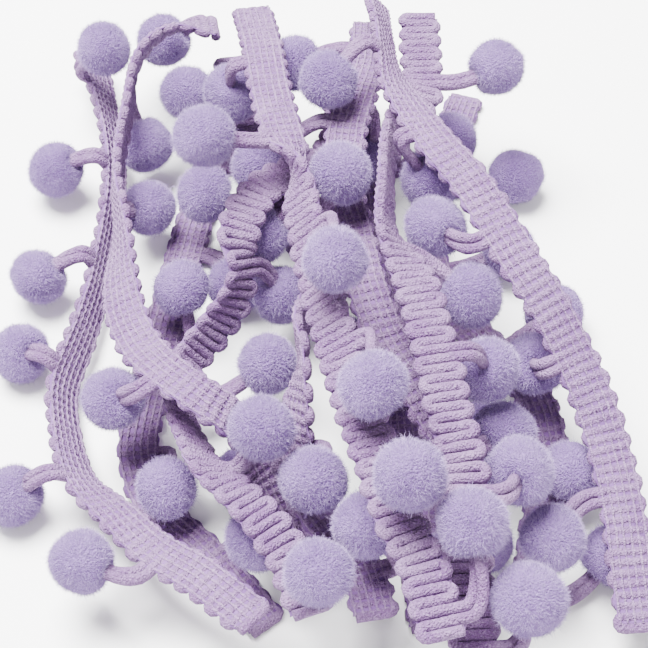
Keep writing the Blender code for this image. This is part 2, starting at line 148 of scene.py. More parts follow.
PASSES: tuple[Pass, ...] = (
    Pass("trim_left", 10.5, True, (
        Row(-58, 96, 9, 150), Row(-54, 82, 9, 130), Row(-50, 64, 8, 120), Row(-49, 49, 8, 115),
        Row(-51, 22, 7, 115), Row(-53, 10, 7, 120), Row(-56, -5, 7, 125), Row(-55, -14, 7, 130),
        Row(-50, -30, 10, 140), Row(-42, -40, 13, 160), Row(-33, -50, 15, 175),
        Row(-24, -57, 17, 180), Row(-13, -67, 18, 180),
    ), (
        Ball(0, -52, 82, 24), Ball(1, -63, 57, 9), Ball(2, -64, 25, 8), Ball(3, -66, 5, 6.5),
        Ball(4, -64, -32, 6.5), Ball(5, -47, -53, 16),
    )),
    Pass("trim_left_inner", 3, True, (
        Row(-24, 86, 26, 190), Row(-36, 84, 28, 230), Row(-43, 76, 27, 255), Row(-45, 59, 25, 270),
        Row(-46, 40, 24, 265), Row(-44, 26, 24, 250), Row(-43, 10, 25, 215), Row(-41, 0, 26, 200),
        Row(-37, -10, 28, 190), Row(-31, -18, 30, 180), Row(-24, -24, 30, 180),
        Row(-17, -27, 25, 185), Row(-12, -30, 15, 190), Row(-8, -36, 8, 185), Row(-5, -44, 5, 180),
        Row(-2, -54, 4, 180),
    ), (
        Ball(0, -39, 92, 17), Ball(1, -42, 62, 12), Ball(2, -40, 43, 11), Ball(4, -43, -18, 21),
        Ball(5, -13, -48, 16),
    )),
    Pass("trim_curl", 26.5, True, (
        Row(2, 84, 20, 0), Row(4, 66, 25, 0), Row(4, 50, 28, 0), Row(-1, 40, 29, 0),
        Row(-8, 34, 32, 0), Row(-14, 27, 34, 0), Row(-17, 20, 34, -5), Row(-18, 14, 33, -30),
        Row(-17, 9, 29, -60), Row(-19, 5, 24, -70), Row(-23, 2, 19, -65), Row(-28, -3, 15, -55),
        Row(-30, -11, 15, -50), Row(-29, -20, 18, -50), Row(-26, -29, 21, -45),
        Row(-22, -38, 25, -35), Row(-16, -45, 27, -20), Row(-10, -52, 26, -5), Row(-6, -58, 24, 0),
        Row(-2, -68, 22, 0),
    ), (
        Ball(1, -14, 23, 25), Ball(2, -9, 14, 15), Ball(3, -12, -4, 14), Ball(4, -12, -34, 34),
        Ball(5, -1, -66, 34),
    )),
    Pass("trim_crest", 28, True, (
        Row(-17, 88, 31, 180), Row(-14, 68, 38, 180), Row(-11, 46, 42, 180), Row(-8, 32, 44, 165),
        Row(-6, 24, 45, 95), Row(-5, 16, 46, 50), Row(-3, 2, 46, 45), Row(0, -13, 46, 40),
        Row(6, -36, 46, 15), Row(10, -50, 46, 0), Row(13, -61, 46, 0), Row(17, -70, 45, 0),
        Row(21, -85, 43, 0),
    ), (
        Ball(0, -21, 63, 28), Ball(1, -25, 30, 48), Ball(2, 2, -11, 57), Ball(3, 9, -39, 55),
        Ball(4, 15, -60, 57), Ball(5, 26, -66, 51),
    )),
    Pass("trim_centre", 12.5, True, (
        Row(11, 88, 26, 180), Row(10, 70, 31, 180), Row(7, 56, 33, 180), Row(5, 46, 34, 180),
        Row(4, 27, 34, 180), Row(6, 16, 34, 180), Row(9, 1, 33, 180), Row(13, -10, 30, 180),
        Row(18, -18, 28, 180), Row(23, -27, 22, 150), Row(26, -37, 17, 60), Row(27, -47, 14, 10),
        Row(27, -65, 11, 0),
    ), (
        Ball(1, -14, 43, 25), Ball(3, 5, -4, 20), Ball(4, 36, -27, 22), Ball(5, 23, -59, 25),
    )),
    Pass("trim_upper", 22, True, (
        Row(22, 82, 35.6, 360), Row(22, 67, 34.6, 360), Row(22, 57, 34.6, 355),
        Row(18, 47, 36.7, 325), Row(14, 35, 39, 290), Row(13, 23, 41, 285), Row(13, 9, 43, 300),
        Row(16, 0, 44, 335), Row(18, -7, 45, 355), Row(21, -22, 45, 360), Row(24, -39, 43, 360),
        Row(26, -49, 41, 360), Row(26, -61, 37, 360), Row(27, -85, 32, 360),
    ), (
        Ball(0, 39, 64, 35), Ball(2, 30, -1, 34), Ball(3, 32, -20, 34), Ball(4, 37, -44, 34),
        Ball(5, 36, -76, 42),
    )),
    Pass("trim_right", 28.5, True, (
        Row(12, 88, 33, 130), Row(13, 74, 38, 120), Row(14, 60, 41, 125), Row(16, 48, 44, 150),
        Row(24, 28, 47, 180), Row(30, 19, 46, 185), Row(40, 1, 41, 190), Row(45, -6, 37, 190),
        Row(50, -14, 31, 190), Row(54, -22, 26, 190), Row(57, -31, 21, 185), Row(59, -42, 17, 180),
        Row(60, -53, 13, 180), Row(61, -64, 9, 180),
    ), (
        Ball(0, 1, 53, 42), Ball(1, 23, 30, 35), Ball(2, 23, 14, 38), Ball(3, 44, -8, 20),
        Ball(4, 44, -51, 21),
    )),
    Pass("trim_under_left", 18.6, False, (
        Row(-11, -59, 1, 180), Row(-24, -43, 1, 180), Row(-34, -33, 2, 180), Row(-39, -21, 4, 180),
        Row(-38, -6, 5, 180), Row(-34, 24, 3, 180), Row(-28, 60, 1, 180), Row(-22, 88, 1, 180),
    ), (
        Ball(1, -32, -33, 11), Ball(2, -31, 16, 15), Ball(3, -20, 24, 6.5),
    )),
    Pass("trim_under_middle", 11, True, (
        Row(10, -65, 14, 180), Row(7, -52, 13, 180), Row(-2, -40, 15, 180), Row(-6, -31, 21, 165),
        Row(-5, -24, 29, 130), Row(-4, -17, 34, 95), Row(-5, -10, 34, 85), Row(-4, -4, 32, 80),
        Row(0, 4, 28, 60), Row(1, 14, 23, 20), Row(-5, 28, 18, 0), Row(-13, 45, 15, 0),
        Row(-19, 65, 15, 0), Row(-22, 86, 16, 0),
    ), (
        Ball(0, 8, -52, 28), Ball(1, -2, -42, 28), Ball(4, -27, 42, 17), Ball(5, -32, 70, 21),
    )),
    Pass("trim_under_right", 8.5, False, (
        Row(40, -60, 1, 180), Row(44, -40, 2, 180), Row(47, -22, 6, 180), Row(43, -4, 8, 180),
        Row(32, 12, 6, 180), Row(24, 35, 3, 180), Row(26.5, 60, 1, 180), Row(35, 88, 1, 180),
    ), (
        Ball(0, 58, -46, 6.5), Ball(1, 50, -30, 13), Ball(4, 45, 57, 6.5),
    )),
    Pass("trim_floor", 6, False, (
        Row(21, -60, 1, 180), Row(18, -10, 1, 180), Row(14, 30, 1, 180), Row(8, 88, 1, 180),
    ), (
        Ball(4, 30, 66, 10),
    )),
)

# pompoms left off: each would have to be crushed between the runs round its root
LEFT_OFF: tuple[tuple[str, int], ...] = (
    ("trim_left_inner", 3),
    ("trim_under_middle", 2),
)

# directions in which a pompom that has no row of its own may hang, in order of choice
LEANS: tuple[int, ...] = (
    0, 18, -18, 36, -36, 54, -54, 72, -72, 90, -90, 108, -108, 126, -126, 150, -150, 180,
)
LIFTS: range = range(-85, 90, 5)
REACHES: tuple[float, ...] = (1.0, 0.9, 1.1, 0.8, 0.7)


def unit(v: np.ndarray) -> np.ndarray:
    """Scale vectors to length 1.

    Args:
        v: one vector, or one a row.

    Returns:
        The same vectors at length 1.
    """
    return v / np.linalg.norm(v, axis=-1, keepdims=True)


class Frames(NamedTuple):
    """Where the braid is at some distances along it, and which way it goes and faces there."""

    point: np.ndarray
    along: np.ndarray
    fringe: np.ndarray
    face: np.ndarray


class Station(NamedTuple):
    """A place along the braid, with the number of the pompom that is rooted there, if any."""

    at: float
    point: np.ndarray
    along: np.ndarray
    fringe: np.ndarray
    root: Optional[int]


class Route:
    """The smooth line that one run of braid follows."""

    def __init__(self, run: Pass) -> None:
        """Lay the line through the run's rows.

        Args:
            run: the run of trim.
        """
        self.run = run
        self.line = self._spline(run.rows)
        steps = np.linalg.norm(np.diff(self.line[:, :3], axis=0), axis=1)
        self.reach = np.concatenate(([0.0], np.cumsum(steps)))
        self.length = float(self.reach[-1])

    @staticmethod
    def _spline(rows: tuple[Row, ...], samples: int = 16) -> np.ndarray:
        """Run a smooth line through a route's rows.

        Args:
            rows: the route's rows.
            samples: how many points to take from one row to the next.

        Returns:
            The line's points with their rolls, one a row.
        """
        knots = np.array(rows, float)
        knots = np.vstack((2 * knots[0] - knots[1], knots, 2 * knots[-1] - knots[-2]))
        out = []
        for i in range(1, len(knots) - 2):
            p = knots[i - 1:i + 3]
            gaps = np.linalg.norm(np.diff(p[:, :3], axis=0), axis=1) ** 0.5
            t = np.concatenate(([0.0], np.cumsum(gaps)))
            for k in range(samples):
                x = t[1] + (t[2] - t[1]) * k / samples
                a = [p[j] + (p[j + 1] - p[j]) * (x - t[j]) / (t[j + 1] - t[j]) for j in range(3)]
                b = [a[j] + (a[j + 1] - a[j]) * (x - t[j]) / (t[j + 2] - t[j]) for j in range(2)]
                out.append(b[0] + (b[1] - b[0]) * (x - t[1]) / (t[2] - t[1]))
        out.append(knots[-2])
        return np.array(out)

    def _at(self, at: np.ndarray) -> np.ndarray:
        """Return the line's points at distances along it."""
        return np.stack([np.interp(at, self.reach, self.line[:, c]) for c in range(3)], axis=-1)

    def frames(self, at: np.ndarray) -> Frames:
        """Return the braid's place and directions.

        Args:
            at: distances along the line, in millimetres.

        Returns:
            The frames at those distances.
        """
        at = np.asarray(at, float)
        roll = np.radians(np.interp(at, self.reach, self.line[:, 3]))[..., None]
        along = unit(self._at(at + SIZES.look) - self._at(at - SIZES.look))
        left = unit(np.cross((0, 0, 1), along))
        up = np.cross(along, left)
        fringe = np.cos(roll) * left + np.sin(roll) * up
        face = np.cos(roll) * up - np.sin(roll) * left
        return Frames(self._at(at), along, fringe, face)

    def marks(self) -> list[tuple[float, Optional[int]]]:
        """Find where the braid's sections lie: at each lobe, or more sparsely on a plain run.

        Returns:
            Each section's distance along, and the number of the pompom rooted there or None.
        """
        run = self.run
        pitch = SIZES.pompom_pitch
        half = SIZES.lobe_step
        balls = int((self.length - run.first - SIZES.end_room) / pitch) + 1
        if run.scalloped:
            count = int((self.length - SIZES.end_trim) / half)
            shift = run.first % half
            roots = {round((run.first + n * pitch - shift) / half): n for n in range(balls)}
            return [(shift + k * half, roots.get(k)) for k in range(count + 1)]
        marks: list[tuple[float, Optional[int]]] = []
        for n in range(balls):
            root = run.first + n * pitch
            start = SIZES.end_trim if n == 0 else root - pitch + half
            steps = max(1, round((root - start) / SIZES.plain_step))
            marks += [(start + (root - start) * k / steps, None) for k in range(steps) if k or n == 0]
            marks += [(root, n), (root + half, None)]
        start = marks[-1][0]
        steps = max(1, round((self.length - start) / SIZES.plain_step))
        end = self.length - SIZES.end_trim
        marks += [(start + (end - start) * k / steps, None) for k in range(1, steps + 1)]
        return marks

    def stations(self) -> list[Station]:
        """Find the braid's place and directions at all marks.

        Returns:
            A station for each mark.
        """
        marks = self.marks()
        f = self.frames(np.array([at for at, _ in marks]))
        return [Station(at, *place, root)
                for (at, root), *place in zip(marks, f.point, f.along, f.fringe)]


def root_of(a: Station, b: Station) -> tuple[np.ndarray, np.ndarray]:
    """Return the point on the fringe edge between two stations, and the way out from it."""
    out = unit(a.fringe + b.fringe)
    return (a.point + b.point) / 2 + out * SIZES.braid_width / 2, out


def loop_line(root: np.ndarray, out: np.ndarray, centre: np.ndarray, steps: int) -> np.ndarray:
    """Return points along a loop, from the braid's edge to the dimple of its pompom.

    Args:
        root: where it leaves the braid.
        out: the way out of the braid there.
        centre: the pompom's centre.
        steps: how many steps to take.

    Returns:
        One point a row.
    """
    bend = root + out * SIZES.loop_bend
    end = centre + unit(centre - bend) * SIZES.dimple * SIZES.pompom_radius
    t = (np.arange(steps + 1) / steps)[:, None]
    return (1 - t) ** 2 * root + 2 * t * (1 - t) * bend + t * t * end


@dataclass(frozen=True)
class HangRules:
    """How a free place for a pompom is looked for, in millimetres where it is a length."""

    bead_step: float = 2.0
    bead_shares: tuple[float, ...] = (-0.82, -0.41, 0, 0.41, 0.82)
    bead_margin: float = 0.1
    loop_beads: int = 8
    probe_steps: int = 6
    probe_bend: int = 3
    probe_tip: int = 5
    probe_free: tuple[int, ...] = (3, 4)
    probe_near: tuple[int, ...] = (1, 2, 3)
    bend_height: float = 1.5
    tip_height: float = 1.2
    level_least: float = 0.35
    steepest: float = 0.98
    lean_cost: float = 0.35
    nothing_near: float = 99.0


RULES = HangRules()


class Crowd:
    """What is already in place, as round beads, for finding where the next pompom fits."""

    def __init__(self) -> None:
        """Start with nothing in place."""
        self.points = np.zeros((0, 3))
        self.radii = np.zeros(0)
        self.braids = 0

    def add(self, points: Iterable[np.ndarray], radius: float) -> None:
        """Enter beads.

        Args:
            points: their centres.
            radius: the radius of all of them.
        """
        points = np.array(list(points)).reshape(-1, 3)
        self.points = np.vstack((self.points, points))
        self.radii = np.append(self.radii, np.full(len(points), radius))

    def gap(self, point: np.ndarray, radius: float, start: int = 0) -> float:
        """Return the least gap from a ball at the point to any bead numbered from `start`."""
        far = np.linalg.norm(self.points[start:] - point, axis=1) - self.radii[start:] - radius
        return float(far.min(initial=RULES.nothing_near))

    def fits(self, root: np.ndarray, out: np.ndarray, centre: np.ndarray) -> bool:
        """Tell whether a pompom and its loop stand clear of all else.

        Args:
            root: where the loop leaves the braid.
            out: the way out of the braid there.
            centre: the pompom's centre.

        Returns:
            True where both have room.
        """
        if centre[2] < SIZES.pompom_radius - SIZES.flat_spot:
            return False
        if self.gap(centre, SIZES.pompom_radius) < SIZES.clear:
            return False
        points = loop_line(root, out, centre, RULES.probe_steps)
        bend, tip = points[RULES.probe_bend], points[RULES.probe_tip]
        if bend[2] < RULES.bend_height or tip[2] < RULES.tip_height:
            return False
        if any(self.gap(points[k], SIZES.loop_thick / 2) < SIZES.clear / 2 for k in RULES.probe_free):
            return False
        return all(self.gap(points[k], SIZES.loop_width / 2, self.braids) >= 0 for k in RULES.probe_near)


@dataclass
class Heap:
    """All runs of the heap and where every pompom lies."""

    passes: tuple[Pass, ...]
    left_off: tuple[tuple[str, int], ...]
    leans: tuple[int, ...] = LEANS
    lifts: range = LIFTS
    reaches: tuple[float, ...] = REACHES

    def arrange(self) -> tuple[dict[str, Route], dict[str, dict[int, np.ndarray]]]:
        """Lay the runs and hang their pompoms.

        Those with a row of their own come first, then the others from the lowest root up.

        Returns:
            The routes, and each run's pompom centres by number.
        """
        crowd = Crowd()
        routes = {p.name: Route(p) for p in self.passes}
        stations = {name: route.stations() for name, route in routes.items()}
        centres: dict[str, dict[int, np.ndarray]] = {p.name: {} for p in self.passes}
        for p in self.passes:
            crowd.add(self._beads(stations[p.name]), SIZES.braid_thick / 2 + RULES.bead_margin)
        crowd.braids = len(crowd.radii)
        ranks = []
        for number, p in enumerate(self.passes):
            chosen = {ball.at: np.array([ball.x, ball.y, ball.z], float) for ball in p.balls}
            for k, s in enumerate(stations[p.name][:-1]):
                if s.root is None or (p.name, s.root) in self.left_off:
                    continue
                if s.root in chosen:
                    self._place(crowd, centres[p.name], stations[p.name], k, chosen[s.root])
                else:
                    ranks.append((s.point[2], number, k))
        for _, number, k in sorted(ranks):
            p = self.passes[number]
            here = stations[p.name]
            centre = self._hang(crowd, here[k], here[k + 1])
            if centre is not None:
                self._place(crowd, centres[p.name], here, k, centre)
        return routes, centres

    @staticmethod
    def _beads(stations: list[Station]) -> list[np.ndarray]:
        """Fill a braid with beads.

        Args:
            stations: the braid's stations.

        Returns:
            The beads' centres.
        """
        beads = []
        for a, b in zip(stations, stations[1:]):
            steps = max(1, round((b.at - a.at) / RULES.bead_step))
            for k in range(steps):
                t = k / steps
                point = a.point * (1 - t) + b.point * t
                fringe = a.fringe * (1 - t) + b.fringe * t
                for share in RULES.bead_shares:
                    beads.append(point + fringe * share * SIZES.braid_width / 2)
        return beads

    @staticmethod
    def _place(crowd: Crowd, centres: dict[int, np.ndarray], stations: list[Station], k: int,
               centre: np.ndarray) -> None:
        """Enter a pompom and its loop.

        Args:
            crowd: what is in place.
            centres: the run's pompoms, which this one joins.
            stations: the run's stations.
            k: the station that it is rooted at.
            centre: its centre.
        """
        root, out = root_of(stations[k], stations[k + 1])
        crowd.add([centre], SIZES.pompom_radius)
        crowd.add(loop_line(root, out, centre, RULES.loop_beads)[1:], SIZES.loop_width / 2)
        centres[stations[k].root] = centre

    def _hang(self, crowd: Crowd, a: Station, b: Station) -> Optional[np.ndarray]:
        """Look for the lowest free place for a pompom.

        Args:
            crowd: what is in place.
            a: the station before its root.
            b: the station after its root.

        Returns:
            The pompom's centre, or None where it fits nowhere.
        """
        root, out = root_of(a, b)
        flat = np.array([out[0], out[1], 0])
        if np.linalg.norm(flat) < RULES.level_least:
            flat = np.cross(a.along, (0, 0, 1))
        flat = unit(flat)
        side = np.cross((0, 0, 1), flat)
        best: Optional[tuple[float, np.ndarray]] = None
        for reach in self.reaches:
            span = SIZES.loop_reach * reach
            for rank, lean in enumerate(self.leans):
                turn = math.radians(lean)
                level = math.cos(turn) * flat + math.sin(turn) * side
                lifts = [math.radians(x) for x in self.lifts]
                rest = (SIZES.pompom_radius - SIZES.flat_spot / 2 - root[2]) / span
                if abs(rest) < RULES.steepest:
                    lifts.append(math.asin(rest))
                for lift in lifts:
                    way = math.cos(lift) * level + math.sin(lift) * np.array([0, 0, 1])
                    centre = root + span * way
                    cost = centre[2] + RULES.lean_cost * rank
                    if (best is None or cost < best[0]) and crowd.fits(root, out, centre):
                        best = (cost, centre)
            if best:
                return best[1]
        return None


@dataclass(frozen=True)
class HeapPlace:
    """The middle of the heap in the tables' millimetres: the origin of the finished part."""

    x: float = -3.359
    y: float = 6.603

    def metres(self, points: np.ndarray) -> np.ndarray:
        """Turn table millimetres into places on the finished part, in metres."""
        return (points - np.array([self.x, self.y, 0.0])) * MM


PLACE = HeapPlace()
FLOOR_GAP = 0.02   # millimetres that every piece stays above the floor


class Piecework:
    """The points and faces of one piece while it is put together."""

    def __init__(self) -> None:
        """Start empty."""
        self.points: list[np.ndarray] = []
        self.faces: list[np.ndarray] = []
        self.tips: list[np.ndarray] = []
        self.count = 0

    def add(self, points: np.ndarray, faces: Iterable[np.ndarray],
            tips: Optional[np.ndarray] = None) -> None:
        """Enter a shape.

        Args:
            points: one point a row, in millimetres.
            faces: arrays of faces, each array's faces having the same number of corners.
            tips: how near each point is to a fibre's tip, from 0 to 1, or None for no fibres.
        """
        self.points.append(points)
        self.faces += [np.asarray(block) + self.count for block in faces]
        self.count += len(points)
        if tips is not None:
            self.tips.append(tips)

    def finish(self, name: str) -> bpy.types.Object:
        """Make the piece's object.

        Args:
            name: the object's name.

        Returns:
            The object, at the origin, with its place in its mesh.
        """
        mesh = bpy.data.meshes.new(name)
        points = np.vstack(self.points)
        points[:, 2] = np.maximum(points[:, 2], FLOOR_GAP)
        points = PLACE.metres(points)
        mesh.vertices.add(len(points))
        mesh.vertices.foreach_set("co", points.astype(np.float32).ravel())
        corners = np.concatenate([block.ravel() for block in self.faces])
        sizes = np.concatenate([np.full(len(block), block.shape[1]) for block in self.faces])
        mesh.loops.add(len(corners))
        mesh.loops.foreach_set("vertex_index", corners.astype(np.int32))
        mesh.polygons.add(len(sizes))
        starts = np.concatenate(([0], np.cumsum(sizes)[:-1]))
        mesh.polygons.foreach_set("loop_start", starts.astype(np.int32))
        mesh.polygons.foreach_set("use_smooth", np.ones(len(sizes), bool))
        mesh.update(calc_edges=True)
        mesh.validate()
        if self.tips:
            values = mesh.attributes.new(TIP, "FLOAT", "POINT")
            values.data.foreach_set("value", np.concatenate(self.tips).astype(np.float32))
        piece = bpy.data.objects.new(name, mesh)
        bpy.context.scene.collection.objects.link(piece)
        return piece


def ring_corners(count: int, sides: int) -> tuple[np.ndarray, np.ndarray]:
    """Number the corners of a tube's rings, all but the last ring.

    Args:
        count: how many rings the tube has.
        sides: how many corners a ring has.

    Returns:
        Each corner's number, and the number of the next corner round.
    """
    starts = np.arange(count - 1)[:, None] * sides
    corners = np.arange(sides)[None, :]
    return starts + corners, starts + (corners + 1) % sides


def tube(points: np.ndarray, refs: np.ndarray, rings: np.ndarray) -> tuple[np.ndarray, list[np.ndarray]]:
    """Wrap a closed tube round a line of points.

    Args:
        points: the line, one point a row.
        refs: the direction at each point that the tube's first corner faces.
        rings: for each point, its corners as (reach along the ref, reach across it), in order round.

    Returns:
        The tube's points and its arrays of faces.
    """
    ahead = unit(np.gradient(points, axis=0))
    across = unit(np.cross(ahead, refs))
    refs = np.cross(across, ahead)
    count, sides = rings.shape[:2]
    verts = points[:, None, :] + rings[:, :, :1] * refs[:, None, :] + rings[:, :, 1:] * across[:, None, :]
    here, turned = ring_corners(count, sides)
    quads = np.stack((here, turned, turned + sides, here + sides), axis=-1).reshape(-1, 4)
    first = np.arange(sides)[::-1][None, :]
    last = np.arange(sides)[None, :] + (count - 1) * sides
    return verts.reshape(-1, 3), [quads, first, last]


class CordLine:
    """The gimp cord's line: its points, the way its upper side faces, and its place across the braid."""

    def __init__(self, route: Route) -> None:
        """Start with no cord.

        Args:
            route: the route of the run that the cord is for.
        """
        self.route = route
        self.points: list[np.ndarray] = []
        self.refs: list[np.ndarray] = []
        self.across: list[np.ndarray] = []

    def lay(self, s: np.ndarray, y: np.ndarray, n: np.ndarray) -> None:
        """Lay the cord on.

        Args:
            s: its points' distances along the braid.
            y: their places across it.
            n: their heights over its middle.
        """
        f = self.route.frames(s)
        self.points.append(f.point + y[:, None] * f.fringe + n[:, None] * f.face)
        self.refs.append(f.face)
        self.across.append(y)


@dataclass
class RunPart:
    """What each part of a run needs: its route, its pompoms' centres, its detail and its seed."""

    route: Route
    centres: dict[int, np.ndarray]
    detail: Detail
    seed: int

    @property
    def fineness(self) -> Fineness:
        """How many points, sides and fibres the pieces are made with."""
        return FINENESS[self.detail]

    def draws(self, kind: Draw) -> np.random.Generator:
        """Start the random draws of one kind of piece."""
        return np.random.default_rng(self.seed + kind.value)

    def finish(self, work: Piecework, ending: str) -> bpy.types.Object:
        """Make a piece's object, named for the run and by an ending of its own."""
        return work.finish(f"{self.route.run.name}_{ending}")


@dataclass
class Braid(RunPart):
    """The braid of one run: a cord laid back and forth, its loops, a thin ground and the threads behind.

    Sizes are in millimetres. `across` is 0 in the middle of the braid and positive towards its fringe.
    A spread is how far a hand-laid size strays.
    """

    cord_radius: float = 1.15
    swell_spread: float = 0.030
    turn_radius: float = 1.05
    turn_at: float = 2.85
    turn_spread: tuple[float, float] = (-0.22, 0.16)
    lift_spread: float = 0.10
    bow_spread: float = 0.10
    wave_spread: float = 0.05
    end_margin: float = 0.1
    end_across: float = 3.6
    end_short: float = 0.3
    end_points: int = 8
    loop_steps: int = 9
    loop_knots: tuple[int, ...] = (0, 2, 6, 9)
    loop_shares: tuple[float, ...] = (1.0, 1.0, 0.95, 0.82)
    bend_angles: tuple[float, ...] = (20, 55, 90, 125, 160)
    off_braid: float = 99.0
    column_pitch: float = 1.46
    columns: int = 6
    pinch: float = 0.32
    pinch_width: float = 0.30
    pinch_power: float = 0.5
    taper: float = 0.18
    taper_power: float = 0.7
    thread_radius: float = 0.34
    thread_dip: float = 0.10
    thread_room: float = 0.08
    thread_spread: float = 0.05
    thread_swell: float = 0.25
    thread_corners: tuple[float, ...] = (45, 135, 225, 315)
    sway_every: int = 4
    ground_half: float = 5.0
    ground_dip: float = 1.0
    ground_hem: float = 0.45
    ground_thick: float = 0.36
    ground_level: float = -0.48
    ground_past: float = 0.9
    ground_step: float = 0.49

    def lobes(self) -> tuple[np.ndarray, np.ndarray, dict[int, int]]:
        """Find where the cord turns.

        Returns:
            Each lobe's distance along, its side (1 the fringe, -1 the plain edge), and the number of
            the pompom at each rooted lobe.
        """
        half = SIZES.lobe_step
        first = self.route.run.first
        shift = first % half
        if shift < self.turn_radius + self.end_margin:
            shift += half
        count = int((self.route.length - shift - self.turn_radius - self.end_margin) / half)
        at = shift + half * np.arange(count + 1)
        origin = round((first - shift) / half)
        side = np.where((np.arange(count + 1) - origin) % 2 == 0, 1, -1)
        roots = {origin + 2 * SIZES.lobes_per_pompom * n: n for n in self.centres}
        return at, side, roots

    def cord_line(self) -> CordLine:
        """Lay the gimp cord back and forth across the braid and out to every pompom.

        Returns:
            The cord's line.
        """
        rng = self.draws(Draw.LINE)
        at, side, roots = self.lobes()
        r, ends = self.turn_radius, self.end_points
        reach = self.turn_at + rng.uniform(*self.turn_spread, len(at))
        lift = rng.uniform(-self.lift_spread, self.lift_spread, len(at))
        turns = np.radians(np.linspace(-90, 90, self.fineness.turn_points))
        share = (np.linspace(-1, 1, self.fineness.straight_points)[1:-1] + 1) / 2
        cord = CordLine(self.route)
        lead = np.linspace(-side[0] * self.end_across, side[0] * (reach[0] - self.end_short), ends)
        cord.lay(np.full(ends, at[0] - r), lead, np.zeros(ends))
        for k in range(len(at)):
            if k in roots:
                self._loop(cord, at[k], reach[k], self.centres[roots[k]])
            else:
                y = side[k] * (reach[k] + r * np.cos(turns))
                cord.lay(at[k] + r * np.sin(turns), y, lift[k] * np.ones(len(turns)))
            if k + 1 < len(at):
                y = side[k] * (reach[k] - share * (reach[k] + reach[k + 1]))
                bow = rng.uniform(-self.bow_spread, self.bow_spread) * np.sin(math.pi * share)
                bow += rng.uniform(-self.wave_spread, self.wave_spread) * np.sin(FULL_TURN * share)
                cord.lay(at[k] + r + bow, y, lift[k] + (lift[k + 1] - lift[k]) * share)
        tail = np.linspace(side[-1] * (reach[-1] - self.end_short), -side[-1] * self.end_across, ends)
        cord.lay(np.full(ends, at[-1] + r), tail, np.zeros(ends))
        return cord

    def _loop(self, cord: CordLine, at: float, reach: float, centre: np.ndarray) -> None:
        """Run the cord out along its loop to the pompom and back.

        Args:
            cord: the cord's line, which the loop joins.
            at: the loop's distance along the braid.
            reach: where across the braid the cord would have turned.
            centre: the pompom's centre.
        """
        f = self.route.frames(np.array([at]))
        out, along = f.fringe[0], f.along[0]
        root = f.point[0] + out * SIZES.braid_width / 2
        line = loop_line(root, out, centre, self.loop_steps)
        ahead = unit(np.gradient(line, axis=0))
        wide = unit(along - ahead * (ahead @ along)[:, None])
        over = np.cross(wide, ahead)
        shares = np.interp(np.arange(len(line)), self.loop_knots, self.loop_shares)
        gap = self.turn_radius * shares[:, None]
        start = f.point[0] + out * reach
        turns = np.radians(self.bend_angles)[:, None]
        bend = line[-1] + gap[-1] * (np.sin(turns) * ahead[-1] - np.cos(turns) * wide[-1])
        foot = along[None, :] * self.turn_radius
        cord.points += [start - foot, line - wide * gap, bend, (line + wide * gap)[::-1], start + foot]
        cord.refs += [f.face, over, np.repeat(over[-1:], len(bend), axis=0), over[::-1], f.face]
        cord.across.append(np.full(2 * len(line) + len(bend) + 2, self.off_braid))

    def columns_at(self) -> np.ndarray:
        """Return the places across the braid of the lengthwise threads."""
        return (np.arange(self.columns) - (self.columns - 1) / 2) * self.column_pitch

    def pinch_at(self, across: np.ndarray) -> np.ndarray:
        """Return how far the back of the cord is drawn in, from 0 to 1, at places across the braid."""
        away = np.abs(across[:, None] - self.columns_at()[None, :]).min(axis=1)
        return np.exp(-(away / self.pinch_width) ** 2)

    def make_cord(self) -> bpy.types.Object:
        """Make the gimp cord and its loops as one piece.

        Returns:
            The piece's object.
        """
        line = self.cord_line()
        points, across = np.vstack(line.points), np.concatenate(line.across)
        sides = self.fineness.cord_sides
        turn = np.arange(sides) / sides * 2 * math.pi
        steps = len(points)
        swell = 1 + self.draws(Draw.CORD).normal(0, self.swell_spread, steps)
        over = np.cos(turn)[None, :] * np.ones((steps, 1))
        under = np.clip(-over, 0, 1)
        drawn = 1 - self.pinch * self.pinch_at(across)[:, None] * under ** self.pinch_power
        in_braid = (np.abs(across) < self.ground_half)[:, None]
        side = np.sin(turn)[None, :] * (1 - self.taper * in_braid * under ** self.taper_power)
        rings = np.stack((over * drawn, side), axis=-1)
        rings *= (self.cord_radius * swell)[:, None, None]
        work = Piecework()
        work.add(*tube(points, np.vstack(line.refs), rings))
        return self.finish(work, "cord")

    def make_threads(self) -> bpy.types.Object:
        """Make the lengthwise threads that catch the cord on its back.

        Returns:
            The piece's object.
        """
        at, _, _ = self.lobes()
        half = SIZES.lobe_step
        step = half / self.fineness.thread_steps
        s = np.arange(at[0] - self.turn_radius, at[-1] + self.turn_radius, step)
        f = self.route.frames(s)
        rng = self.draws(Draw.THREADS)
        turn = np.radians(self.thread_corners)
        ring = np.stack((np.cos(turn), np.sin(turn)), axis=-1)[None, :, :]
        work = Piecework()
        low = self.cord_radius * (1 - self.pinch) + self.thread_room
        phase = 2 * math.pi * (s - at[0] - self.turn_radius) / half
        knots = s[::self.sway_every]
        for y in self.columns_at():
            sway = np.interp(s, knots, rng.normal(0, self.thread_spread, len(knots)))
            n = -(low - self.thread_dip * (1 - np.cos(phase)))
            points = f.point + (y + sway)[:, None] * f.fringe + n[:, None] * f.face
            thick = self.thread_radius * (1 + self.thread_swell * np.cos(phase))[:, None, None]
            work.add(*tube(points, f.face, ring * thick))
        return self.finish(work, "threads")

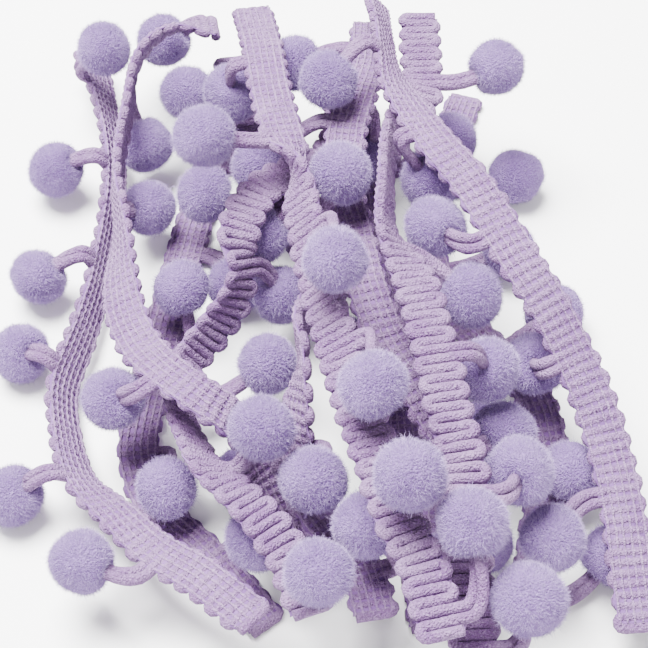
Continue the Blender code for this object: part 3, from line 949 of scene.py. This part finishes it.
    def make_ground(self) -> tuple[bpy.types.Object, float]:
        """Make the thin ground that the cord lies on.

        Returns:
            The piece's object, and its flat area in square millimetres.
        """
        at, side, _ = self.lobes()
        inner = self.ground_half - self.ground_dip
        s = np.arange(at[0] - self.ground_past, at[-1] + self.ground_past, self.ground_step)
        f = self.route.frames(s)
        wave = 0.5 + 0.5 * np.cos(math.pi * (s - at[0]) / SIZES.lobe_step)
        plus, minus = (wave, 1 - wave) if side[0] > 0 else (1 - wave, wave)
        edge = inner + (self.ground_half - self.ground_hem - inner) * np.stack((plus, minus), axis=-1)
        fringe, plain = edge[:, 0], -edge[:, 1]
        upper = self.ground_level + self.ground_thick / 2
        lower = self.ground_level - self.ground_thick / 2
        corners = [(fringe, upper), (fringe, lower), (plain, lower), (plain, upper)]
        rows = np.stack([f.point + y[:, None] * f.fringe + n * f.face for y, n in corners], axis=1)
        sides = len(corners)
        here, turned = ring_corners(len(s), sides)
        quads = np.stack((here, here + sides, turned + sides, turned), axis=-1).reshape(-1, 4)
        first = np.arange(sides)[None, :]
        last = first[:, ::-1] + sides * (len(s) - 1)
        work = Piecework()
        work.add(rows.reshape(-1, 3), [quads, first, last])
        return self.finish(work, "ground"), float(np.trapz(edge.sum(axis=1), s))


class Swell(NamedTuple):
    """One size of unevenness on a ball: how many waves it has, how high, and how many are laid over."""

    waves: float
    height: float
    count: int


@dataclass
class Pompoms(RunPart):
    """The pompoms of one run: a dense ball of cut yarn with short fibres standing out of it.

    Sizes are in millimetres, angles in radians from where the loop comes in, and the rest are shares.
    """

    radius: float = 6.22
    swells: tuple[Swell, ...] = (Swell(2.2, 0.022, 4), Swell(5.0, 0.011, 6), Swell(13.0, 0.006, 10))
    swell_gain: float = 1.6
    stretch_spread: tuple[float, float] = (-0.08, 0.05)
    dimple_depth: float = 0.26
    dimple_width: float = 0.36
    rim_height: float = 0.03
    rim_at: float = 0.65
    rim_width: float = 0.3
    fibre_length: float = 0.78
    fibre_width: float = 0.08
    fibre_root: float = 0.12
    fibre_scatter: float = 0.03
    fibre_lean: float = 0.55
    length_spread: tuple[float, float] = (0.55, 1.35)
    long_share: float = 0.05
    long_spread: tuple[float, float] = (1.4, 2.4)
    quick_thinning: int = 3
    ball_seeds: int = 1000

    def _axis(self, number: int) -> np.ndarray:
        """Find the way from a pompom's centre to where its loop comes in.

        Args:
            number: which pompom.

        Returns:
            The way, at length 1.
        """
        at = self.route.run.first + number * SIZES.pompom_pitch
        f = self.route.frames(np.array([at]))
        bend = f.point[0] + f.fringe[0] * (SIZES.braid_width / 2 + SIZES.loop_bend)
        return unit(bend - self.centres[number])

    def surface(self, number: int, ways: np.ndarray) -> np.ndarray:
        """Find the ball's surface.

        Args:
            number: which pompom.
            ways: directions from its centre, one a row.

        Returns:
            The surface's points in those directions, in millimetres.
        """
        rng = np.random.default_rng(self.ball_seeds * self.seed + number)
        reach = np.ones(len(ways))
        for waves, height, count in self.swells:
            for _ in range(count):
                k = rng.normal(0, waves, 3)
                wave = np.cos(ways @ k + rng.uniform(0, FULL_TURN))
                reach += height * wave / math.sqrt(count) * self.swell_gain
        stretch = unit(rng.normal(0, 1, 3))
        reach *= 1 + rng.uniform(*self.stretch_spread) * (ways @ stretch) ** 2
        angle = np.arccos(np.clip(ways @ self._axis(number), -1, 1))
        reach -= self.dimple_depth * np.exp(-(angle / self.dimple_width) ** 2)
        reach += self.rim_height * np.exp(-((angle - self.rim_at) / self.rim_width) ** 2)
        return self.centres[number] + ways * (reach * self.radius)[:, None]

    def make_balls(self) -> bpy.types.Object:
        """Make the balls, each from a fine geodesic sphere.

        Returns:
            The piece's object.
        """
        bpy.ops.object.select_all(action="DESELECT")
        bpy.ops.mesh.primitive_ico_sphere_add(subdivisions=self.fineness.ball_splits, radius=1.0)
        start = bpy.context.object
        ways = np.zeros(len(start.data.vertices) * 3, np.float32)
        start.data.vertices.foreach_get("co", ways)
        ways = unit(ways.reshape(-1, 3).astype(float))
        faces = np.array([list(p.vertices) for p in start.data.polygons])
        bpy.data.objects.remove(start, do_unlink=True)
        work = Piecework()
        for number in sorted(self.centres):
            work.add(self.surface(number, ways), [faces])
        return self.finish(work, "pompoms")

    def make_fibres(self) -> bpy.types.Object:
        """Make the cut ends of the yarn that stand out of the balls.

        Returns:
            The piece's object.
        """
        count = self.fineness.fibres
        rng = self.draws(Draw.FIBRES)
        work = Piecework()
        k = np.arange(count) + 0.5
        polar = np.arccos(1 - 2 * k / count)
        turn = GOLDEN_TURN * k
        spiral = (np.cos(turn) * np.sin(polar), np.sin(turn) * np.sin(polar), np.cos(polar))
        even = np.stack(spiral, axis=-1)
        faces = np.arange(3 * count).reshape(-1, 3)
        tips = np.tile((0.0, 0.0, 1.0), count)
        for number in sorted(self.centres):
            ways = unit(even + rng.normal(0, self.fibre_scatter, even.shape))
            foot = self.surface(number, ways) - ways * self.fibre_root
            lean = unit(ways + rng.normal(0, self.fibre_lean, ways.shape))
            length = self.fibre_length * rng.uniform(*self.length_spread, count)
            long = rng.random(count) < self.long_share
            length *= np.where(long, rng.uniform(*self.long_spread, count), 1.0)
            side = unit(np.cross(lean, rng.normal(0, 1, ways.shape))) * self.fibre_width / 2
            tip = foot + lean * (length + self.fibre_root)[:, None]
            points = np.stack((foot - side, foot + side, tip), axis=1).reshape(-1, 3)
            work.add(points, [faces], tips)
        return self.finish(work, "fibres")


Socket = bpy.types.NodeSocket
Label = Union[str, int]


def set_values(node: bpy.types.Node, values: dict[Label, object]) -> None:
    """Set the values of a node's input sockets, by name or number."""
    for label, value in values.items():
        node.inputs[label].default_value = value


def add_node(tree: bpy.types.NodeTree, kind: str, feeds: dict[Label, Socket],
             values: Optional[dict[Label, object]] = None, **settings: object) -> bpy.types.Node:
    """Add a node, with its settings first, because some of them change its sockets.

    Args:
        tree: the tree that it joins.
        kind: its kind.
        feeds: the sockets that feed its own, by its own socket's name or number.
        values: the values of its other sockets, in the same way.
        settings: what else is set on it.

    Returns:
        The node.
    """
    node = tree.nodes.new(kind)
    for label, value in settings.items():
        setattr(node, label, value)
    set_values(node, values or {})
    for label, source in feeds.items():
        tree.links.new(source, node.inputs[label])
    return node


@dataclass(frozen=True)
class YarnTexture:
    """The shared shader group: flecked colour and a crimped height for spun yarn."""

    name: str = "yarn_texture"
    fine_detail: float = 3.0
    fine_roughness: float = 0.65
    patch_detail: float = 2.0
    patch_range: tuple[float, float] = (0.35, 0.65)
    fleck_range: tuple[float, float] = (0.50, 0.68)

    def tree(self) -> bpy.types.NodeTree:
        """Give the group, built the first time.

        Returns:
            The group's tree.
        """
        found = bpy.data.node_groups.get(self.name)
        if found:
            return found
        group = bpy.data.node_groups.new(self.name, "ShaderNodeTree")
        for way, kind, labels in (
            ("INPUT", "NodeSocketVector", ("Vector",)),
            ("INPUT", "NodeSocketFloat", ("Fibre Scale", "Patch Scale", "Fleck")),
            ("INPUT", "NodeSocketColor", ("Base", "Light", "Deep")),
            ("OUTPUT", "NodeSocketColor", ("Color",)),
            ("OUTPUT", "NodeSocketFloat", ("Height",)),
        ):
            for label in labels:
                group.interface.new_socket(label, in_out=way, socket_type=kind)
        start = group.nodes.new("NodeGroupInput").outputs
        at, scale = start["Vector"], start["Fibre Scale"]
        fine = add_node(group, "ShaderNodeTexNoise", {"Vector": at, "Scale": scale},
                        {"Detail": self.fine_detail, "Roughness": self.fine_roughness}).outputs["Fac"]
        patch = add_node(group, "ShaderNodeTexNoise", {"Vector": at, "Scale": start["Patch Scale"]},
                         {"Detail": self.patch_detail}).outputs["Fac"]
        lumps = add_node(group, "ShaderNodeTexVoronoi", {"Vector": at, "Scale": scale}).outputs["Distance"]
        shade = self._stretch(group, patch, self.patch_range)
        spot = self._stretch(group, fine, self.fleck_range)
        ground = add_node(group, "ShaderNodeMix", {"Factor": shade, "A": start["Deep"], "B": start["Base"]},
                          data_type="RGBA").outputs["Result"]
        amount = add_node(group, "ShaderNodeMath", {0: spot, 1: start["Fleck"]},
                          operation="MULTIPLY").outputs["Value"]
        flecked = add_node(group, "ShaderNodeMix", {"Factor": amount, "A": ground, "B": start["Light"]},
                           data_type="RGBA").outputs["Result"]
        height = add_node(group, "ShaderNodeMath", {0: fine, 1: lumps},
                          operation="SUBTRACT").outputs["Value"]
        add_node(group, "NodeGroupOutput", {"Color": flecked, "Height": height})
        return group

    @staticmethod
    def _stretch(tree: bpy.types.NodeTree, source: Socket, span: tuple[float, float]) -> Socket:
        """Stretch a span of a socket's values to the whole way from 0 to 1."""
        ends = {"From Min": span[0], "From Max": span[1]}
        return add_node(tree, "ShaderNodeMapRange", {"Value": source}, ends).outputs["Result"]


@dataclass(frozen=True)
class YarnFinish:
    """A finish of dyed yarn, matt with a soft sheen. Scales are per metre and the depth in millimetres."""

    name: str
    base: tuple[float, float, float]
    light: tuple[float, float, float]
    deep: tuple[float, float, float]
    fibre_scale: float
    patch_scale: float
    fleck: float
    sheen: float
    bump: float = 1.0
    bump_depth: float = 0.0
    tip_lighten: float = 0.0
    roughness: float = 0.9
    shine: float = 0.25
    sheen_roughness: float = 0.45

    def material(self) -> bpy.types.Material:
        """Give the finish's material, built the first time.

        Returns:
            The material.
        """
        found = bpy.data.materials.get(self.name)
        if found:
            return found
        material = bpy.data.materials.new(self.name)
        material.use_nodes = True
        tree = material.node_tree
        base, light, deep = ((*colour, 1.0) for colour in (self.base, self.light, self.deep))
        shader = tree.nodes["Principled BSDF"]
        set_values(shader, {
            "Roughness": self.roughness, "Specular IOR Level": self.shine, "Sheen Weight": self.sheen,
            "Sheen Roughness": self.sheen_roughness, "Sheen Tint": light,
        })
        place = tree.nodes.new("ShaderNodeTexCoord").outputs["Object"]
        texture = tree.nodes.new("ShaderNodeGroup")
        texture.node_tree = YarnTexture().tree()
        set_values(texture, {
            "Fibre Scale": self.fibre_scale, "Patch Scale": self.patch_scale, "Fleck": self.fleck,
            "Base": base, "Light": light, "Deep": deep,
        })
        tree.links.new(place, texture.inputs["Vector"])
        colour = texture.outputs["Color"]
        if self.tip_lighten:
            tip = add_node(tree, "ShaderNodeAttribute", {}, attribute_name=TIP).outputs["Fac"]
            share = add_node(tree, "ShaderNodeMath", {0: tip}, {1: self.tip_lighten},
                             operation="MULTIPLY").outputs["Value"]
            colour = add_node(tree, "ShaderNodeMix", {"Factor": share, "A": colour}, {"B": light},
                              data_type="RGBA").outputs["Result"]
        tree.links.new(colour, shader.inputs["Base Color"])
        if self.bump_depth:
            bump = add_node(tree, "ShaderNodeBump", {"Height": texture.outputs["Height"]},
                            {"Strength": self.bump, "Distance": self.bump_depth * MM})
            tree.links.new(bump.outputs["Normal"], shader.inputs["Normal"])
        return material


CORD_YARN = YarnFinish(
    "cord_yarn", base=(0.205, 0.115, 0.25), light=(0.36, 0.245, 0.42), deep=(0.145, 0.065, 0.19),
    fibre_scale=2300.0, patch_scale=160.0, fleck=0.55, sheen=0.16, bump_depth=0.55,
)
THREAD_YARN = YarnFinish(
    "thread_yarn", base=(0.235, 0.14, 0.28), light=(0.42, 0.30, 0.48), deep=(0.185, 0.10, 0.235),
    fibre_scale=2600.0, patch_scale=200.0, fleck=0.5, sheen=0.15, bump_depth=0.4,
)
# The ground's colours are darker and more violet than those of the cord and threads, which are the same
# lavender yarn: painted shade in the gaps between the cord's runs.
PAINTED_SHADE_GROUND_YARN = YarnFinish(
    "ground_yarn_painted_shade", base=(0.165, 0.08, 0.23), light=(0.25, 0.15, 0.33), deep=(0.12, 0.05, 0.18),
    fibre_scale=1500.0, patch_scale=200.0, fleck=0.3, sheen=0.1, bump=0.5, bump_depth=0.2,
)
POMPOM_YARN = YarnFinish(
    "pompom_yarn", base=(0.19, 0.105, 0.30), light=(0.34, 0.24, 0.48), deep=(0.14, 0.07, 0.235),
    fibre_scale=2400.0, patch_scale=120.0, fleck=0.35, sheen=0.22, bump_depth=0.6,
)
FIBRE_YARN = YarnFinish(
    "fibre_yarn", base=(0.275, 0.175, 0.405), light=(0.50, 0.40, 0.62), deep=(0.205, 0.12, 0.325),
    fibre_scale=1600.0, patch_scale=120.0, fleck=0.3, sheen=0.22, tip_lighten=0.50,
)


@dataclass
class TrimRun:
    """One run of trim, with all its pieces."""

    route: Route
    centres: dict[int, np.ndarray]
    seed: int

    def build(self) -> list[bpy.types.Object]:
        """Make the run's pieces, dress them and join them to the frame.

        Returns:
            The pieces.
        """
        name = self.route.run.name
        detail = Detail.SHOWN if self.route.run.scalloped else Detail.UNDER
        braid = Braid(self.route, self.centres, detail, self.seed)
        pompoms = Pompoms(self.route, self.centres, detail, self.seed)
        ground, area = braid.make_ground()
        pieces = {
            braid.make_cord(): CORD_YARN,
            braid.make_threads(): THREAD_YARN,
            pompoms.make_balls(): POMPOM_YARN,
            pompoms.make_fibres(): FIBRE_YARN,
        }
        # the ground's darker finish is painted shade in the gaps between the cord's runs
        for piece, finish in {ground: PAINTED_SHADE_GROUND_YARN, **pieces}.items():
            piece.data.materials.append(finish.material())
            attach(piece, "root")
            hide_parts(name)
        return [ground, *pieces]


class Lamp(NamedTuple):
    """A square soft light that faces the heap: its place and width in metres and its power in watts."""

    name: str
    place: tuple[float, float, float]
    width: float
    power: float


@dataclass(frozen=True)
class Studio:
    """A pale floor, soft lights and the camera. Lengths are in metres, the lens in millimetres."""

    floor_size: float = 6.0
    floor_drop: float = 0.0002
    floor_tone: float = 0.95
    floor_roughness: float = 0.95
    floor_shine: float = 0.1
    lamps: tuple[Lamp, ...] = (
        Lamp("light_top", (-0.28, 0.22, 1.1), 0.7, 118.0),
        Lamp("light_front", (0.3, -1.0, 0.9), 1.2, 15.0),
    )
    world_strength: float = 0.55
    elevation: float = 52.0
    distance: float = 0.380
    look_height: float = 0.023
    lens: float = 101.0
    sensor_width: float = 36.0
    clip_start: float = 0.01

    def build(self) -> list[bpy.types.Object]:
        """Set up the floor, the lights, the world and the camera.

        Returns:
            The floor, the lights and the camera.
        """
        floor = self._floor()
        lights = [self._light(lamp) for lamp in self.lamps]
        self._world()
        return [floor, *lights, self._camera()]

    def _floor(self) -> bpy.types.Object:
        """Lay the floor under the heap.

        Returns:
            The floor.
        """
        bpy.ops.object.select_all(action="DESELECT")
        bpy.ops.mesh.primitive_plane_add(size=self.floor_size, location=(0, 0, -self.floor_drop))
        floor = bpy.context.object
        floor.name = "floor"
        material = bpy.data.materials.new("floor_paper")
        material.use_nodes = True
        set_values(material.node_tree.nodes["Principled BSDF"], {
            "Base Color": (self.floor_tone, self.floor_tone, self.floor_tone, 1.0),
            "Roughness": self.floor_roughness, "Specular IOR Level": self.floor_shine,
        })
        floor.data.materials.append(material)
        return floor

    def _light(self, lamp: Lamp) -> bpy.types.Object:
        """Hang one light.

        Args:
            lamp: its name, place, width and power.

        Returns:
            The light.
        """
        data = bpy.data.lights.new(lamp.name, "AREA")
        data.shape = "SQUARE"
        data.size = lamp.width
        data.energy = lamp.power
        light = bpy.data.objects.new(lamp.name, data)
        light.location = lamp.place
        light.rotation_euler = (-Vector(lamp.place)).to_track_quat("-Z", "Y").to_euler()
        bpy.context.scene.collection.objects.link(light)
        return light

    def _world(self) -> None:
        """Fill the world with even white."""
        world = bpy.data.worlds.new("even_white")
        world.use_nodes = True
        white = {"Color": (1.0, 1.0, 1.0, 1.0), "Strength": self.world_strength}
        set_values(world.node_tree.nodes["Background"], white)
        bpy.context.scene.world = world

    def _camera(self) -> bpy.types.Object:
        """Place the camera.

        Returns:
            The camera.
        """
        data = bpy.data.cameras.new("camera")
        data.lens = self.lens
        data.sensor_width = self.sensor_width
        data.clip_start = self.clip_start
        camera = bpy.data.objects.new("camera", data)
        aim = Vector((-PLACE.x * MM, -PLACE.y * MM, self.look_height))
        tilt = math.radians(self.elevation)
        camera.location = aim + Vector((0, -math.cos(tilt), math.sin(tilt))) * self.distance
        camera.rotation_euler = (aim - camera.location).to_track_quat("-Z", "Y").to_euler()
        bpy.context.scene.collection.objects.link(camera)
        bpy.context.scene.camera = camera
        return camera


def main() -> None:
    """Make the heap run by run, then the studio."""
    logging.basicConfig(level=logging.INFO, format="%(name)s: %(message)s")
    heap = Heap(PASSES, LEFT_OFF)
    routes, centres = heap.arrange()
    for seed, run in enumerate(PASSES, start=1):
        for piece in TrimRun(routes[run.name], centres[run.name], seed).build():
            log.info("%s: %d faces", piece.name, len(piece.data.polygons))
    for thing in Studio().build():
        log.info("%s: placed", thing.name)


if __name__ == "__main__":
    main()
